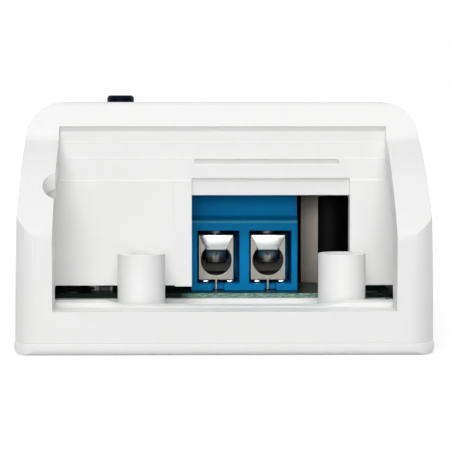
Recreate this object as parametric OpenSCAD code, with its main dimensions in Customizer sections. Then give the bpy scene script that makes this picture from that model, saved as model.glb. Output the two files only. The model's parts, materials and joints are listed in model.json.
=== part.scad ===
// Smart relay module: a mains relay in a white box with screw terminals at both ends.
// +X across the width, +Y along the length, +Z up. The origin is under the middle of the base.
// The cover of the near end (-Y) is off, the cover of the far end is screwed on.

/* [Body] */
// Overall length
body_l = 88; // [79:0.5:100]
// Overall width at the base
body_w = 38; // [34:0.25:44]
// Height of the top face
body_h = 22.6; // [20.3:0.1:25]
// Corner radius in plan
plan_r = 2.5; // [1.5:0.25:3.5]
// Corner radius along the top edges
corner_r = 3.5; // [2.5:0.25:4]
// Lean of each side from base to top
side_lean = 0.4; // [0.1:0.1:0.8]
// Wall thickness of the shell
wall = 1.8; // [1.5:0.1:1.9]
// Step of the shell inside the edge of the base
seam_step = 0.1; // [0:0.05:0.2]

/* [End profile] */
// Height at which the upright end meets the slope
nose_z = 10.95; // [10.5:0.05:12]
// Radius between the upright end and the slope
nose_r = 2; // [1:0.25:3]
// Distance of the foot of the brow from the end
brow_d = 11.6; // [11:0.1:11.8]
// Height of the leaning brow band under the top face
brow_h = 3.45; // [3:0.05:3.8]
// Lean of the brow band
brow_lean = 1.58; // [1:0.02:2]
// Radius between the slope and the brow
brow_r = 1.2; // [0.6:0.1:1.5]
// Bulge of the slope over the straight line from nose to brow
slope_bulge = 1.1; // [0.6:0.05:1.4]

/* [End frame] */
// Width of each leg of the end frame
leg_w = 3.6; // [3.2:0.1:4.2]
// Thickness of the end frame along the body
flange_t = 4; // [3.5:0.1:4.2]
// Height of the bottom bar
bar_top = 3.92; // [3.6:0.02:4]
// Radius of the round notch that is cut down through one leg's slope
notch_r = 1.4; // [1.2:0.01:1.6]
// Distance of the notch's axis from the end
notch_d = 4.5; // [4.2:0.01:4.8]
// Distance of the notch's axis inside the opening's edge
notch_in = 0.3; // [0.2:0.05:0.5]
// Thickness of the wall round the notch, measured straight down
notch_wall = 1.5; // [1.2:0.1:1.8]
// Width of the upright strip beside the window, at its top
strip_w = 1.82; // [1.5:0.01:2]
// Height of the strip over the panel's face
strip_t = 0.08; // [0.05:0.01:0.1]
// Length of the strip's end under the panel's lower edge
strip_drop = 0.1; // [0.05:0.01:0.2]

/* [Bulkhead] */
// Distance of the wall panels from the end
panel_d = 12.2; // [12.1:0.1:13]
// Thickness of the wall panels
panel_t = 2; // [1.8:0.1:2.1]
// Lower edge of the panels
panel_bottom = 5.26; // [5:0.02:5.4]
// Upper edge of the panels
panel_top = 15.28; // [15:0.02:15.6]
// Setback from band to band going up
band_step = 0.15; // [0.1:0.01:0.2]
// Height of the first band above the panels
band_1 = 2.1; // [1.9:0.01:2.3]
// Height of the second band
band_2 = 1.52; // [1.3:0.01:1.6]
// Height of the third band
band_3 = 1.41; // [1.2:0.01:1.45]
// Width of the terminal window
window_w = 14.97; // [13:0.01:16]
// Middle of the window from the middle plane
window_x = 4.565; // [4:0.005:5]
// Upper edge of the window
window_top = 13.8; // [13.4:0.05:14.4]
// Setback of the lintel over the window
lintel_set = 0.5; // [0.2:0.1:0.8]
// Width of the lifting slot
slot_w = 13.7; // [8:0.1:14.5]
// Height of the lifting slot
slot_h = 0.53; // [0.4:0.01:0.7]
// Depth of the lifting slot
slot_deep = 0.45; // [0.3:0.05:0.8]

/* [Base tray] */
// Thickness of the base plate
tray_t = 1.1; // [1:0.05:1.2]
// Edge radius of the base plate
tray_r = 0.7; // [0.3:0.1:0.9]
// Height of the shelf that carries the posts
shelf_z = 3.8; // [3.6:0.05:3.85]
// Depth of the trough between the saddle and the rib before the board
trough = 0.6; // [0.4:0.05:0.7]
// Thickness of the rib before the board
rib_t = 0.8; // [0.6:0.05:1]
// Height of the cable saddle at its sides
saddle_z = 4.38; // [4.1:0.02:4.5]
// Depth of the dip in the middle of the saddle
saddle_dip = 0.35; // [0.2:0.01:0.4]
// Width of the dip
dip_w = 20.2; // [14:0.1:24]
// Diameter of the screw posts
post_dia = 4.44; // [4:0.02:4.8]
// Height of the post tops
post_top = 8.53; // [8:0.01:9]
// Distance between the two posts of an end
post_pitch = 18.74; // [18:0.02:19.4]
// Middle of the two posts from the middle plane
post_x = 1.72; // [1.2:0.01:2]
// Distance of the posts from the end
post_d = 9.3; // [9.2:0.05:9.4]
// Diameter of the pilot holes in the posts
pilot_dia = 2.2; // [1.8:0.05:2.4]
// Depth of the pilot holes
pilot_deep = 6; // [5:0.1:6.4]

/* [Board] */
// Thickness of the circuit board
board_t = 1.6; // [1.4:0.1:1.7]
// Height of the board's top face
board_top = 4.2; // [4.1:0.05:4.3]
// Distance of the board from each end
board_d = 15.5; // [15.4:0.1:15.9]
// Gap between the board and the shell's sides
board_gap = 0.6; // [0.4:0.1:0.8]

/* [Terminals] */
// Distance between the two poles
pole_pitch = 5.08; // [5:0.01:5.2]
// Width of the housing
term_w = 10.4; // [10.3:0.05:10.8]
// Depth of the housing
term_l = 8; // [7.6:0.1:8.4]
// Height of the housing
term_h = 10.2; // [9.8:0.1:10.6]
// Height of the front face
term_front = 6.8; // [6.6:0.05:7]
// Middle of the housing from the middle plane
term_x = 2.22; // [1.8:0.02:2.6]
// Distance of the housing's front from the end
term_d = 18; // [17.8:0.1:18.6]
// Width of each wire opening
cell_w = 4.1; // [4:0.05:4.3]
// Width of each clamp cage
cage_w = 3.45; // [3.2:0.05:3.6]
// Diameter of the wire hole in the cage
wire_dia = 3; // [2.8:0.05:3.1]
// Thread diameter of the clamp screws
clamp_dia = 2.5; // [2.2:0.1:2.6]
// Head diameter of the clamp screws
clamp_head = 3.6; // [3:0.1:3.7]
// Travel of the clamp
clamp_travel = 0.8; // [0.5:0.05:0.9]

/* [Button] */
// Diameter of the button
button_dia = 2.95; // [2.5:0.05:3.2]
// Height of the button above the top face
button_proud = 0.75; // [0.6:0.05:1.2]
// Travel of the button
button_travel = 0.25; // [0.2:0.01:0.3]
// Place of the button beyond the middle, as a share of the room up to the far terminal
button_run = 0.2222; // [0.2:0.0001:0.25]
// Distance of the button from the middle plane, as a share of the board's width
button_side = 0.32424; // [0.31:0.00001:0.33]
// Side of the switch under the button
switch_w = 6; // [5.5:0.1:6.2]
// Height of the switch body
switch_h = 3.5; // [3.2:0.1:4]

/* [Relay] */
// Length of the relay as a share of the room between the terminals
relay_run = 0.5278; // [0.5:0.0001:0.54]
// Width of the relay as a share of the board's width
relay_side = 0.4697; // [0.42:0.0001:0.475]
// Height of the relay as a share of the room above the board
relay_rise = 0.9217; // [0.9:0.0001:0.95]
// Wall thickness of the relay case
case_t = 0.7; // [0.5:0.1:0.9]
// Swing of the armature, degrees
armature_swing = 4; // [2:0.5:4]

/* [Supply] */
// Width of the transformer as a share of the board's width
trafo_side = 0.394; // [0.36:0.001:0.4]
// Height of the transformer
trafo_h = 11.6; // [11:0.1:13]
// Diameter of the reservoir capacitor
cap_dia = 8; // [7:0.5:8]
// Height of the reservoir capacitor
cap_h = 8.8; // [8:0.2:12]
// Diameter of the output capacitor as a share of the room beyond the relay
cap2_run = 0.37; // [0.3:0.005:0.38]
// Height of the output capacitor
cap2_h = 11; // [8:0.5:13]

/* [Cover] */
// Thickness of the cover's skin
cover_t = 1.5; // [1.2:0.1:1.8]
// Gap between the cover and its opening
cover_gap = 0.15; // [0.1:0.01:0.25]
// Width of the cable hole
cable_w = 8.5; // [7:0.25:9]
// Head diameter of the cover screws
screw_head = 3.8; // [3.4:0.1:3.9]

/* [Fits] */
// Gap around sliding and turning pieces
run_gap = 0.08; // [0.06:0.01:0.1]
// Gap around pins, leads and sleeves
lead_gap = 0.1; // [0.06:0.01:0.12]
// Gap between the tray's inner parts and the shell
rim_gap = 0.2; // [0.15:0.01:0.25]

/* [Hidden] */
$fn = 48;
eps = 0.05;
big = 200;
end_y = -body_l / 2;
shell_half = body_w / 2 - seam_step;
inner_half = shell_half - wall;
inner_top = body_h - wall;
open_half = body_w / 2 - leg_w;
crease_z = body_h - brow_h;
slope_run = brow_d - seam_step;
slope_rise = (crease_z - nose_z) / slope_run;
band_1_top = panel_top + band_1;
band_2_top = band_1_top + band_2;
recess_top = band_2_top + band_3;
wall_back = panel_d + panel_t;
rim_half = inner_half - rim_gap;
rim_t = 1.2;
saddle_front = flange_t + 0.1;
saddle_back = post_d - post_dia / 2 - 0.28;
shelf_back = board_d - 0.2;
board_w = 2 * (inner_half - board_gap);
board_l = body_l - 2 * board_d;
board_low = board_top - board_t;
pin_x = board_w / 2 - 1.9;
pin_y = board_l / 2 - 2;
pin_r = 0.9;
slot_z = band_1_top - 0.42;
slot_x = window_x - 0.405;
snap_y = 14;
snap_z = tray_t + 0.5;
floor_gap = 0.35;
lead_z = tray_t + floor_gap - board_top;

// Clamp pieces, measured from the front of the housing and the board's top face
cell_low = 0.71;
cell_high = 5.9;
cage_x = -0.2;
cage_y = 0.9;
cage_low = 1.01;
cage_high = 5.48;
cage_t = 0.5;
cage_back = term_l - 1.3;
hole_z = 2.96;
clamp_y = cage_y + cage_t + 2.6;
leaf_w = 1.96;
leaf_t = 0.25;
leaf_z = 2.55;
well_r = clamp_head / 2 + 0.2;
tip_z = leaf_z + leaf_t;

// Room between the terminals, above the board and beyond the relay
span_y = body_l / 2 - term_d - term_l;
span_z = inner_top - board_top;
relay_l = relay_run * 2 * span_y;
relay_w = relay_side * board_w;
relay_h = relay_rise * span_z;
relay_x = board_w / 2 - 0.6 - relay_w / 2;
relay_y = cap_dia + 2.5 - span_y;
relay_end = relay_y + relay_l;
room = board_l / 2 - relay_end;

// Places on the board, as shares of the room they stand in
button_x = button_side * board_w;
button_y = button_run * span_y;
cap_x = board_w / 2 - cap_dia / 2 - 1.1;
cap_y = 1 + cap_dia / 2 - span_y;
trafo_w = trafo_side * board_w;
trafo_x = -board_w / 2 + 0.7 + trafo_w / 2;
trafo_y = 7.4 - span_y;
led_x = -0.14545 * board_w;
pipe_r = 1;
pipe_flange = 1.6;
cap2_dia = cap2_run * room;
cap2_x = 0.2364 * board_w;
cap2_y = relay_end + 0.3265 * room;
varistor_x = 0.2727 * board_w;
varistor_y = board_l / 2 - 4.4;
varistor_r = 0.105 * board_w;
fuse_x = board_w / 2 - 2.2;
fuse_y = relay_end + 0.41 * room;
fuse_l = 0.47 * room;
fuse_reach = 0.3176 * room;
choke_x = -0.3636 * board_w;
choke_y = board_l / 2 - 6.6;
radio_x = -0.303 * board_w;
radio_y = span_y - 4.8;

// Relay heights and places, measured from its near lower edge
coil_w = 0.4842 * relay_l;
coil_y = case_t + 1.1 + coil_w / 2;
coil_r = 0.4457 * coil_w;
core_r = 0.1739 * coil_w;
tube_r = 0.2391 * coil_w;
yoke_y = coil_y + coil_w / 2 + 1;
yoke_top = relay_h - 3.9;
yoke_t = 1.2;
pivot_y = yoke_y + yoke_t / 2;
pivot_r = 0.3;
pole_gap = 0.62;
base_h = 2;

// Switch and button heights
switch_top = board_top + switch_h;
plunger_top = switch_top + 0.9;
plunger_r = 1.7;
plunger_foot = board_top + 1.62;
guide_r = 2.5;
guide_t = 0.9;
flange_z = inner_top - 0.9;

function unit(v) = v / norm(v);
function fillet(a, b, c, r, n) =
  let (u = unit(a - b), v = unit(c - b), h = acos(u * v) / 2)
  let (p = b + u * r / tan(h), q = b + v * r / tan(h), m = b + unit(u + v) * r / sin(h))
  let (s = atan2(p.y - m.y, p.x - m.x), e = atan2(q.y - m.y, q.x - m.x))
  let (d = ((e - s + 540) % 360) - 180)
  [for (i = [0:n]) m + r * [cos(s + d * i / n), sin(s + d * i / n)]];
function rounded(pts, radii, n) = [
  for (i = [0:len(pts) - 1])
    each radii[i] > 0
      ? fillet(pts[(i + len(pts) - 1) % len(pts)], pts[i], pts[(i + 1) % len(pts)], radii[i], n)
      : [pts[i]]
];

// Outline of the body seen along its length
function section(inset, low) = rounded(
  [
    [-shell_half + inset, low],
    [shell_half - inset, low],
    [shell_half - side_lean - inset, body_h - inset],
    [-shell_half + side_lean + inset, body_h - inset]
  ],
  [0, 0, corner_r - inset, corner_r - inset], 10);

// Height of the bulging slope at a distance from the end, and points along it
function slope_z(d) =
  let (t = (d - seam_step) / slope_run)
  nose_z + (crease_z - nose_z) * t + 4 * slope_bulge * t * (1 - t);
function slope_points(from, to, n, back, drop) = [
  for (i = [0:n]) let (d = from + (to - from) * i / n) [d + back, slope_z(d) - drop]
];

// Outline of one end seen from the side: distance from the end, height
function end_points(low) = concat(
  [[seam_step, low]],
  slope_points(seam_step, brow_d, 8, 0, 0),
  [[brow_d + brow_lean, body_h], [body_l / 2, body_h], [body_l / 2, low]]);
function end_outline(low) = rounded(
  end_points(low), [0, nose_r, 0, 0, 0, 0, 0, 0, 0, brow_r, 0.8, 0, 0], 8);

module along_y(l) {
  rotate([90, 0, 0]) linear_extrude(l, center = true) children();
}
module along_x(w) {
  rotate([90, 0, 90]) linear_extrude(w, center = true) children();
}
module at_end(d) {
  translate([0, end_y + d, 0]) children();
}
module both_ends() {
  children();
  rotate([0, 0, 180]) children();
}
module plan(w, l, r) {
  square([w - 2 * r, l], center = true);
  square([w, l - 2 * r], center = true);
  for (x = [-1, 1], y = [-1, 1]) translate([x * (w / 2 - r), y * (l / 2 - r)]) circle(r);
}
module block(x0, x1, y0, y1, z0, z1) {
  translate([x0, y0, z0]) cube([x1 - x0, y1 - y0, z1 - z0]);
}
module rod(x, y, z0, z1, r) {
  translate([x, y, z0]) cylinder(h = z1 - z0, r = r);
}

// The solid form of the shell, before it is hollowed
module shell_form() {
  intersection() {
    along_y(body_l) polygon(section(0, tray_t));
    union() {
      both_ends() at_end(0) along_x(body_w + 2) polygon(end_outline(tray_t));
    }
    translate([0, 0, -1]) linear_extrude(body_h + 2)
      plan(body_w - 2 * seam_step, body_l - 2 * seam_step, plan_r);
  }
}

// The space behind the end frame, in the same view as the end outline
module bay_outline() {
  shift = flange_t - seam_step;
  polygon(rounded(
    concat([[flange_t, -1]], slope_points(seam_step, panel_d - shift, 5, shift, 0), [[panel_d, -1]]),
    [0, nose_r, 0, 0, 0, 0, 0, 0], 8));
}

// The opening of the end, with the stepped bands of the bulkhead at its back
module opening_outline() {
  polygon([
    [-1, bar_top], [panel_d, bar_top], [panel_d, panel_top],
    [panel_d + band_step, panel_top], [panel_d + band_step, band_1_top],
    [panel_d + 2 * band_step, band_1_top], [panel_d + 2 * band_step, band_2_top],
    [panel_d + 3 * band_step, band_2_top], [panel_d + 3 * band_step, recess_top],
    [-1, recess_top]
  ]);
}

module top_shell() color("white") {
  difference() {
    union() {
      difference() {
        shell_form();
        intersection() {
          along_y(body_l) polygon(section(wall, -1));
          union() {
            block(-big, big, end_y + wall_back, -end_y - wall_back, -1, body_h);
            block(-big, big, end_y + flange_t + 1, -end_y - flange_t - 1, -1, panel_bottom);
            both_ends() at_end(0) along_x(body_w) bay_outline();
          }
        }
        both_ends() {
          at_end(0) along_x(2 * open_half) opening_outline();
          at_end(0) block(window_x - window_w / 2, window_x + window_w / 2, panel_d - 1, wall_back + 1,
            panel_bottom - 1, window_top);
          at_end(0) block(window_x - window_w / 2, window_x + window_w / 2, panel_d - 1,
            panel_d + lintel_set, window_top - 1, panel_top + 0.14);
          at_end(0) slot();
          at_end(0) leg_notch();
        }
        for (x = [-1, 1], y = [-1, 1])
          translate([x * (inner_half + 0.1), y * snap_y, snap_z + 0.3])
            cube([1.1, 6.4, 1], center = true);
      }
      both_ends() at_end(panel_d) window_strip();
      rod(-button_x, button_y, inner_top - 6, inner_top + eps, guide_r + guide_t);
    }
    rod(-button_x, button_y, inner_top - 7, inner_top, guide_r);
    rod(-button_x, button_y, inner_top - 1, body_h + 1, button_dia / 2 + run_gap);
    rod(led_x, button_y, inner_top - 1, body_h + 1, pipe_r + lead_gap / 2);
  }
}
module slot() {
  translate([slot_x, panel_d, slot_z]) rotate([-90, 0, 0]) linear_extrude(band_step + slot_deep) {
    square([slot_w - slot_h, slot_h], center = true);
    for (x = [-1, 1]) translate([x * (slot_w - slot_h) / 2, 0]) circle(slot_h / 2, $fn = 24);
  }
}
module leg_notch() {
  near = flange_t + 0.1;
  far = notch_d + notch_r + 1;
  rod(notch_in - open_half, notch_d, nose_z - 0.5, body_h, notch_r);
  translate([-(open_half + inner_half - 0.4) / 2, 0, 0]) along_x(inner_half - open_half - 0.4)
    polygon(concat(
      slope_points(near, far, 4, 0, notch_wall), slope_points(far, near, 4, 0, notch_wall + 2.6)));
}
// The flat strip on the panel, along the window's edge
module window_strip() {
  edge = window_x - window_w / 2;
  along_y(2 * strip_t) polygon([
    [edge - strip_w, panel_top], [edge, panel_top], [edge, panel_bottom - strip_drop],
    [edge - strip_w + 0.24, panel_bottom - strip_drop]
  ]);
}

// The base plate with rounded lower edges, the shelves, saddles and posts
module base_tray() color("white") {
  difference() {
    union() {
      intersection() {
        along_y(body_l) polygon(plate_outline(body_w / 2));
        along_x(body_w) polygon(plate_outline(body_l / 2));
        linear_extrude(tray_t) plan(body_w, body_l, plan_r);
      }
      for (x = [-1, 1])
        block(x > 0 ? rim_half - rim_t : -rim_half, x > 0 ? rim_half : rim_t - rim_half,
          end_y + saddle_front, -end_y - saddle_front, tray_t - eps, board_low);
      for (x = [-1, 1], y = [-1, 1])
        translate([x * rim_half, y * snap_y, snap_z + 0.3]) cube([0.8, 6, 0.6], center = true);
      for (x = [-1, 1], y = [-1, 1]) {
        rod(x * pin_x, y * pin_y, tray_t - eps, board_low, 1.7);
        rod(x * pin_x, y * pin_y, tray_t, board_top - 0.1, pin_r);
      }
      both_ends() end_shelf();
    }
    both_ends()
      for (x = [-1, 1])
        translate([post_x + x * post_pitch / 2, end_y + post_d, post_top - pilot_deep])
          cylinder(h = pilot_deep + 1, r = pilot_dia / 2);
  }
}
function plate_outline(half) = rounded(
  [[-half, 0], [half, 0], [half, tray_t], [-half, tray_t]], [tray_r, tray_r, 0, 0], 6);
module end_shelf() {
  at_end(0) difference() {
    block(-rim_half, rim_half, saddle_front, shelf_back, tray_t - eps, shelf_z);
    block(-rim_half + rim_t, rim_half - rim_t, saddle_back, shelf_back + 1, tray_t, shelf_z - rim_t);
    block(-rim_half + rim_t, rim_half - rim_t, saddle_back, shelf_back - rib_t,
      shelf_z - trough, shelf_z + 1);
  }
  at_end((saddle_front + saddle_back) / 2) along_y(saddle_back - saddle_front) polygon(saddle_outline());
  for (x = [-1, 1])
    translate([post_x + x * post_pitch / 2, end_y + post_d, tray_t - eps])
      cylinder(h = post_top - tray_t + eps, r = post_dia / 2);
}
function saddle_outline() = rounded(
  [
    [-rim_half, shelf_z - 0.5], [rim_half, shelf_z - 0.5], [rim_half, saddle_z],
    [dip_w / 2 + 0.7, saddle_z], [dip_w / 2 - 0.7, saddle_z - saddle_dip],
    [0.7 - dip_w / 2, saddle_z - saddle_dip], [-dip_w / 2 - 0.7, saddle_z], [-rim_half, saddle_z]
  ],
  [0, 0, 0, 1.5, 1.5, 1.5, 1.5, 0], 5);

// The cover of the far end, drawn at the near end and turned round
module cover_form() {
  intersection() {
    shell_form();
    union() {
      at_end(0) block(cover_gap - open_half, open_half - cover_gap, -1, flange_t - 0.3,
        bar_top + cover_gap, recess_top - cover_gap);
      at_end(0) block(cover_gap - open_half, open_half - cover_gap, -1, panel_d - cover_gap,
        saddle_z + 0.1, recess_top - cover_gap);
      at_end(0) block(cover_gap - open_half, open_half - cover_gap, -1,
        panel_d + 3 * band_step - cover_gap, band_2_top + cover_gap, recess_top - cover_gap);
    }
  }
}
module terminal_cover() color("white") rotate([0, 0, 180]) {
  drop = cover_t * sqrt(1 + slope_rise * slope_rise);
  skin_x = open_half - cover_gap - cover_t;
  difference() {
    union() {
      difference() {
        cover_form();
        at_end(0) along_x(2 * skin_x) polygon(concat(
          [[cover_t, -1]], slope_points(cover_t, panel_d + 1, 8, 0, drop), [[panel_d + 1, -1]]));
      }
      intersection() {
        cover_form();
        for (x = [-1, 1]) translate([post_x + x * post_pitch / 2, end_y + post_d, post_top])
          cylinder(h = body_h, r = screw_head / 2 + 1.2);
      }
    }
    for (x = [-1, 1]) translate([post_x + x * post_pitch / 2, end_y + post_d, 0]) {
      cylinder(h = body_h, r = pilot_dia / 2 + 0.2);
      translate([0, 0, post_top + 1.8]) cylinder(h = body_h, r = screw_head / 2 + 0.2);
    }
    at_end(0) cable_arch();
  }
}
module cable_arch() {
  translate([0, -1, saddle_z + 1.2]) rotate([-90, 0, 0]) cylinder(h = cover_t + 2, r = cable_w / 2);
  block(-cable_w / 2, cable_w / 2, -1, cover_t + 1, 0, saddle_z + 1.2);
}
module cover_screws() color("silver") rotate([0, 0, 180]) {
  for (x = [-1, 1]) translate([post_x + x * post_pitch / 2, end_y + post_d, 0]) {
    difference() {
      union() {
        rod(0, 0, post_top + 1.8, post_top + 3.3, screw_head / 2);
        rod(0, 0, post_top - pilot_deep + 0.6, post_top + 1.9, pilot_dia / 2 - lead_gap / 2);
      }
      translate([0, 0, post_top + 3.3]) cube([2.4, 0.5, 1.6], center = true);
      translate([0, 0, post_top + 3.3]) cube([0.5, 2.4, 1.6], center = true);
    }
  }
}

// Board with a hole for every pin and lead
leads = concat(
  [for (i = [-1, 1]) [term_x + i * pole_pitch / 2 + cage_x, end_y + term_d + clamp_y, 0.55]],
  [for (i = [-1, 1]) [-term_x - i * pole_pitch / 2 - cage_x, -end_y - term_d - clamp_y, 0.55]],
  [for (y = [2, relay_l - 6], x = [-1, 1]) [relay_x + x * (relay_w / 2 - 2), relay_y + y, 0.4]],
  [[relay_x, relay_y + relay_l - 1.6, 0.4]],
  [for (i = [-1, 1]) [cap_x, cap_y + i * 1.75, 0.3]],
  [for (i = [-1, 1]) [cap2_x, cap2_y + i * 1.25, 0.3]],
  [for (x = [-1, 1], y = [-1, 0, 1]) [trafo_x + x * (trafo_w / 2 - 1), trafo_y + y * 3.8, 0.35]],
  [for (i = [-1, 1]) [varistor_x + i * 2.5, varistor_y, 0.35]],
  [for (i = [-1, 1]) [fuse_x, fuse_y + i * fuse_reach, 0.35]],
  [for (i = [-1, 1]) [choke_x + i * 1.5, choke_y, 0.35]]
);

module circuit_board() color("green") difference() {
  translate([0, 0, board_low]) linear_extrude(board_t) plan(board_w, board_l, 0.5);
  for (x = [-1, 1], y = [-1, 1]) rod(x * pin_x, y * pin_y, 0, board_top + 1, pin_r + lead_gap);
  for (p = leads) rod(p.x, p.y, 0, board_top + 1, p.z + lead_gap);
}
module on_board(x, y) {
  translate([x, y, board_top]) children();
}
module lead(x, y, r, top) {
  rod(x, y, lead_z, top, r);
}

// Screw terminal, drawn at the near end; the far one is the same turned round
module at_output() {
  on_board(term_x, end_y + term_d) children();
}
module at_input() {
  rotate([0, 0, 180]) at_output() children();
}
module terminal_housing() color("dodgerblue") {
  difference() {
    along_x(term_w) polygon(rounded(
      [[0, 0], [0, term_front], [0.9, term_front + 0.5], [1.4, term_h], [term_l - 0.6, term_h],
        [term_l, term_h - 1], [term_l, 0]],
      [0, 0.4, 0.3, 0.3, 0.3, 0.3, 0], 5));
    translate([-term_w / 2 - eps, term_l - 3.2, -1]) linear_extrude(term_front + 1.2)
      polygon([[0, -0.65], [0.75, -0.95], [0.75, 0.95], [0, 0.65]]);
    for (i = [-1, 1]) translate([i * pole_pitch / 2, 0, 0]) {
      block(-cell_w / 2, cell_w / 2, -1, cage_back + 0.3, cell_low, cell_high);
      block(-0.55, 0.55, -1, cage_y + 0.6, -1, cell_low + 1);
      rod(cage_x, clamp_y, cell_high - 1, term_h + 1, well_r);
      rod(cage_x, clamp_y, -1, cell_low + 1, 0.75);
    }
  }
}
module clamp_cages() color("silver") {
  for (i = [-1, 1]) translate([i * pole_pitch / 2 + cage_x, 0, 0]) {
    difference() {
      block(-cage_w / 2, cage_w / 2, cage_y, cage_back, cage_low, cage_high);
      block(-cage_w, cage_w, cage_y + cage_t, cage_back - cage_t, cage_low + cage_t,
        cage_high - cage_t - 0.1);
      translate([0, cage_y - 1, hole_z]) rotate([-90, 0, 0]) cylinder(h = cage_t + 2, r = wire_dia / 2);
      rod(0, clamp_y, cage_high - cage_t - 1, cage_high + 1, clamp_dia / 2 + run_gap);
    }
    rod(0, clamp_y, lead_z, cage_low + eps, 0.55);
    block(-0.12, 0.12, cage_y, cage_y + 0.3, 0.05, cage_low + eps);
  }
}

// One wire guard: a flap before the cage, through the wire hole, a leaf under the screw
module wire_guard(i) color("gainsboro") translate([i * pole_pitch / 2 + cage_x, 0, 0]) {
  flap_top = cage_high;
  flap_low = 4.02;
  in_y = cage_y + cage_t;
  intersection() {
    along_x(cage_w) polygon([
      [0.2, flap_top], [0.2 + leaf_t, flap_top], [0.75, flap_low], [in_y + 0.5, flap_low],
      [in_y + 1.1, tip_z], [cage_back - cage_t - 0.5, tip_z], [cage_back - cage_t - 0.5, leaf_z],
      [in_y + 0.9, leaf_z], [in_y + 0.3, flap_low - leaf_t], [0.5, flap_low - leaf_t]
    ]);
    rotate([90, 0, 0]) linear_extrude(40, center = true) polygon([
      [-leaf_w / 2, 0], [leaf_w / 2, 0], [leaf_w / 2, flap_low + 0.1],
      [cage_w / 2 - 0.05, flap_top], [0.05 - cage_w / 2, flap_top], [-leaf_w / 2, flap_low + 0.1]
    ]);
  }
}
module clamp_screw(i) color("silver") translate([i * pole_pitch / 2 + cage_x, clamp_y, 0]) {
  head_z = cell_high + clamp_travel + 0.25;
  difference() {
    union() {
      rod(0, 0, tip_z, head_z + eps, clamp_dia / 2);
      rod(0, 0, head_z, term_h - 0.9, clamp_head / 2);
    }
    translate([0, 0, term_h - 0.9]) cube([clamp_head + 1, 0.7, 1.6], center = true);
  }
}
module output_terminal_housing() at_output() terminal_housing();
module output_clamp_cages() at_output() clamp_cages();
module output_wire_guard_left() at_output() wire_guard(-1);
module output_wire_guard_right() at_output() wire_guard(1);
module output_clamp_screw_left() at_output() clamp_screw(-1);
module output_clamp_screw_right() at_output() clamp_screw(1);
module input_terminal_housing() at_input() terminal_housing();
module input_clamp_cages() at_input() clamp_cages();
module input_wire_guard_left() at_input() wire_guard(-1);
module input_wire_guard_right() at_input() wire_guard(1);
module input_clamp_screw_left() at_input() clamp_screw(-1);
module input_clamp_screw_right() at_input() clamp_screw(1);

// Button, switch and status lamp
module button_cap() color("midnightblue") translate([-button_x, button_y, 0]) {
  rotate_extrude() polygon(rounded(
    [[0, plunger_top], [1.2, plunger_top], [1.2, flange_z], [guide_r - 2 * run_gap, flange_z],
      [guide_r - 2 * run_gap, flange_z + 0.7], [button_dia / 2, flange_z + 0.7],
      [button_dia / 2, body_h + button_proud], [0, body_h + button_proud]],
    [0, 0, 0, 0, 0, 0, 0.35, 0], 5));
}
module switch_base() color("dimgray") on_board(-button_x, button_y) difference() {
  block(-switch_w / 2, switch_w / 2, -switch_w / 2, switch_w / 2, 0, switch_h - 0.3);
  rod(0, 0, 0.6, switch_h, plunger_r + 0.6);
}
module switch_frame() color("silver") on_board(-button_x, button_y) {
  difference() {
    block(-switch_w / 2, switch_w / 2, -switch_w / 2, switch_w / 2, switch_h - 0.3, switch_h);
    rod(0, 0, 0, switch_h + 1, plunger_r + run_gap);
  }
}
module switch_dome() color("gold") on_board(-button_x, button_y) intersection() {
  difference() {
    translate([0, 0, -2.6]) sphere(4.2);
    translate([0, 0, -2.6]) sphere(4);
  }
  rod(0, 0, 0.6, 3, plunger_r + 0.4);
}
module switch_plunger() color("black") translate([-button_x, button_y, 0]) {
  rod(0, 0, plunger_foot + 0.3, switch_top - 0.3, plunger_r + 0.4);
  rod(0, 0, plunger_foot, plunger_top, plunger_r);
}
module light_pipe() color("azure") translate([led_x, button_y, 0]) {
  rod(0, 0, board_top + 1.1, body_h - 0.05, pipe_r);
  rod(0, 0, inner_top - 0.8, inner_top, pipe_flange);
}
module status_led() color("honeydew") on_board(led_x, button_y) {
  block(-0.8, 0.8, -0.4, 0.4, 0, 0.7);
}

// Relay, measured from its near lower edge
module at_relay() {
  on_board(relay_x, relay_y) children();
}
module relay_case() color("royalblue") at_relay() difference() {
  block(-relay_w / 2, relay_w / 2, 0, relay_l, 0, relay_h);
  block(case_t - relay_w / 2, relay_w / 2 - case_t, case_t, relay_l - case_t, -1, relay_h - case_t);
}
module relay_base() color("black") at_relay() difference() {
  block(case_t + 0.02 - relay_w / 2, relay_w / 2 - case_t - 0.02, case_t + 0.02,
    relay_l - case_t - 0.02, 0, base_h);
  for (y = [2, relay_l - 6], x = [-1, 1]) rod(x * (relay_w / 2 - 2), y, -1, base_h + 1, 0.4 + lead_gap);
  rod(0, relay_l - 1.6, -1, base_h + 1, 0.4 + lead_gap);
}
module relay_pins() color("silver") at_relay()
  for (y = [2, relay_l - 6], x = [-1, 1]) lead(x * (relay_w / 2 - 2), y, 0.4, base_h);
module relay_yoke() color("gray") at_relay() difference() {
  union() {
    block(-4, 4, coil_y - 3, yoke_y + yoke_t, base_h, base_h + 1);
    block(-4, 4, yoke_y, yoke_y + yoke_t, base_h, yoke_top);
  }
  armature_pivot(10, pivot_r + run_gap);
}
module relay_core() color("lightgray") at_relay()
  rod(0, coil_y, base_h + 1, yoke_top + eps - pole_gap, core_r);
module relay_bobbin() color("ivory") at_relay() difference() {
  union() {
    rod(0, coil_y, base_h + 1, yoke_top - 1.2, tube_r);
    for (z = [base_h + 1, yoke_top - 1.8])
      block(-coil_w / 2, coil_w / 2, coil_y - coil_w / 2, coil_y + coil_w / 2, z, z + 0.6);
  }
  rod(0, coil_y, base_h, yoke_top, core_r + lead_gap);
}
module relay_winding() color("peru") at_relay() difference() {
  rod(0, coil_y, base_h + 1.6, yoke_top - 1.8, coil_r);
  rod(0, coil_y, base_h, yoke_top, tube_r + lead_gap);
}
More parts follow.
